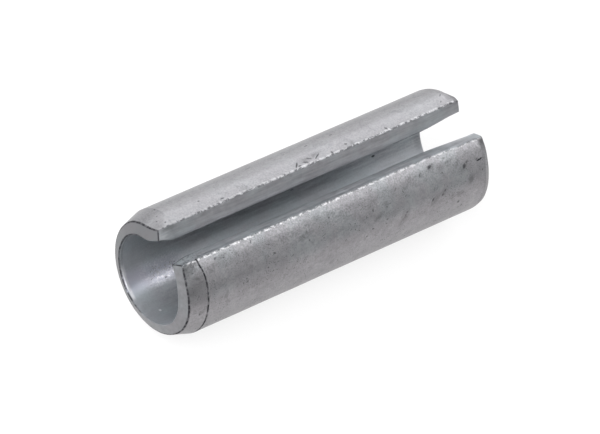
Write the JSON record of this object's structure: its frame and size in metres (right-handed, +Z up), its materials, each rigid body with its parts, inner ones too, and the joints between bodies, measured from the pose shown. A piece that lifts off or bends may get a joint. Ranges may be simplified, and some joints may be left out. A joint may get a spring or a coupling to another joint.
{
  "type": "spring pin",
  "caption": "Slotted spring pin: a rolled steel tube with a full-length open slot, leaning slot faces and short tapered ends.",
  "frame": {"origin": "on the pin's own axis at mid-length", "axes": "+X along the pin from the nosed front end to the square back end, +Z up through the middle of the open slot, +Y to the side"},
  "size_m": [0.0318, 0.0108, 0.0103],
  "materials": {
    "zinc_steel": "satin zinc plating"
  },
  "bodies": {
    "root": {"spring_pin": "zinc_steel"}
  },
  "joints": []
}
